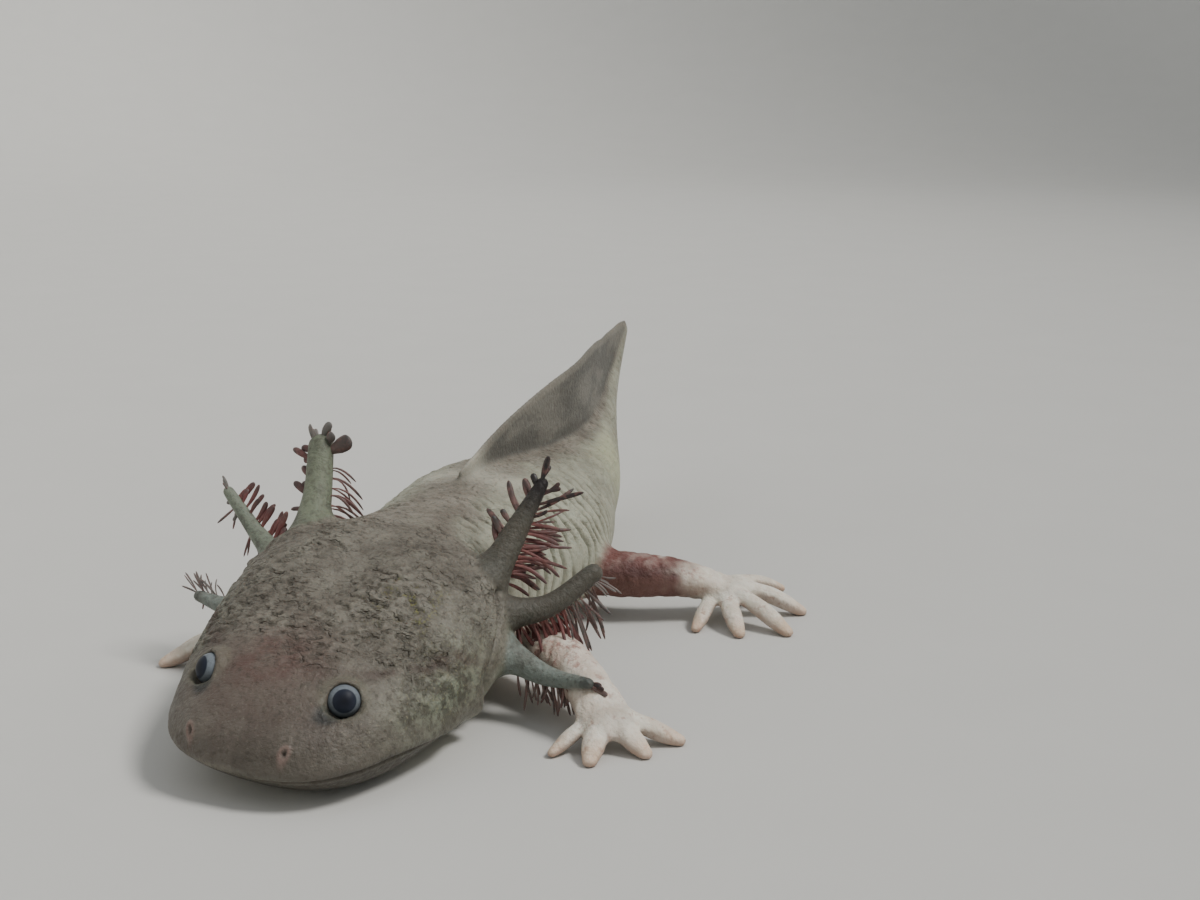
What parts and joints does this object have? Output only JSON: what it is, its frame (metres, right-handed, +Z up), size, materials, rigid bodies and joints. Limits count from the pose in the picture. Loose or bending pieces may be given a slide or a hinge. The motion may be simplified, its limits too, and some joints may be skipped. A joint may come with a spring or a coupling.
{
  "type": "axolotl",
  "caption": "Life-size axolotl resting on its belly: broad flat head turned a little aside, feathery outer gills, splayed toes and a tall finned tail.",
  "frame": {"origin": "middle of the bounding box, on the floor that the belly, chin and feet lie on", "axes": "+Z up, +Y towards the tail, so the animal faces -Y; +X towards its left side"},
  "size_m": [0.1242, 0.2354, 0.046],
  "materials": {
    "back_skin": "moist matt skin, pitted",
    "throat_skin": "moist matt skin, smooth",
    "fin_skin": "thin moist membrane",
    "limb_skin": "moist matt skin",
    "digit_skin": "moist pale skin",
    "gill_skin": "soft moist gill",
    "eye": "wet gloss"
  },
  "bodies": {
    "root": {"dorsal_fin": "fin_skin", "eye_left": "eye", "eye_right": "eye", "foot_left": "digit_skin", "foot_right": "digit_skin", "forearm_left": "limb_skin", "forearm_right": "limb_skin", "gill_lower_left": "gill_skin", "gill_lower_right": "gill_skin", "gill_middle_left": "gill_skin", "gill_middle_right": "gill_skin", "gill_upper_left": "gill_skin", "gill_upper_right": "gill_skin", "hand_left": "digit_skin", "hand_right": "digit_skin", "head": "back_skin", "lower_jaw": "throat_skin", "neck": "back_skin", "pelvis": "back_skin", "shank_left": "limb_skin", "shank_right": "limb_skin", "tail_base": "back_skin", "tail_end": "back_skin", "tail_fin_lower": "fin_skin", "tail_fin_upper": "fin_skin", "tail_middle": "back_skin", "thigh_left": "limb_skin", "thigh_right": "limb_skin", "trunk_front": "back_skin", "trunk_rear": "back_skin", "upper_arm_left": "limb_skin", "upper_arm_right": "limb_skin"}
  },
  "joints": []
}
